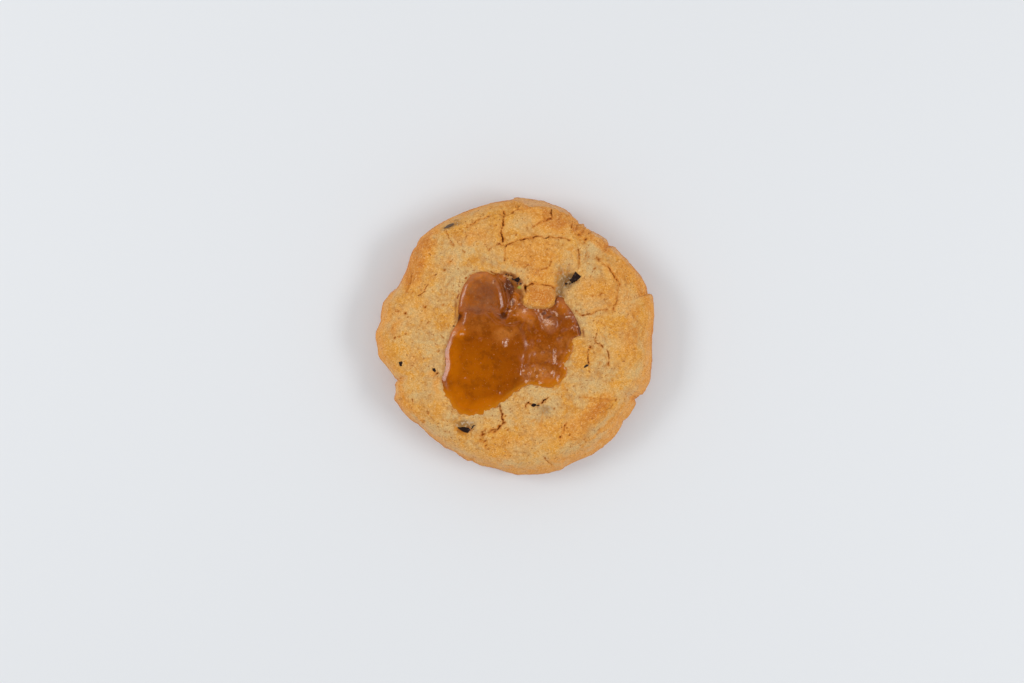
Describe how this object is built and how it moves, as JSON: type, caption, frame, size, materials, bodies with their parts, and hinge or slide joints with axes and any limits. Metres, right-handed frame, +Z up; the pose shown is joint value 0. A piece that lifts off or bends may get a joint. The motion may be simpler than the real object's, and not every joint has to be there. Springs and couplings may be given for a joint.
{
  "type": "salted caramel cookie",
  "caption": "Thick round baked cookie with a cracked sandy top, rounded uneven sides, a torn opening full of glossy caramel, and dark chocolate pieces. Rests on a flat base.",
  "frame": {"origin": "middle of the flat base, under the middle of the cookie's width and depth", "axes": "+Z up out of the cookie's top; seen from above, +X is to the right and +Y is away, as the cookie lies with the caramel's lobe at the top left"},
  "size_m": [0.096, 0.0957, 0.0218],
  "materials": {
    "baked_dough": "matt, sandy crumb, browned on the rim and the raised places",
    "caramel": "glossy soft caramel, slightly see-through",
    "dark_chocolate": "satin"
  },
  "bodies": {
    "root": {"cookie_dough": "baked_dough", "caramel_pool": "caramel", "chip_upper_right": "dark_chocolate", "chip_lower_left": "dark_chocolate", "chip_left_edge": "dark_chocolate", "chip_inner_left": "dark_chocolate", "chip_bottom": "dark_chocolate", "chip_right": "dark_chocolate", "chip_pool_top": "dark_chocolate", "chip_rim_top_left": "dark_chocolate"}
  },
  "joints": []
}
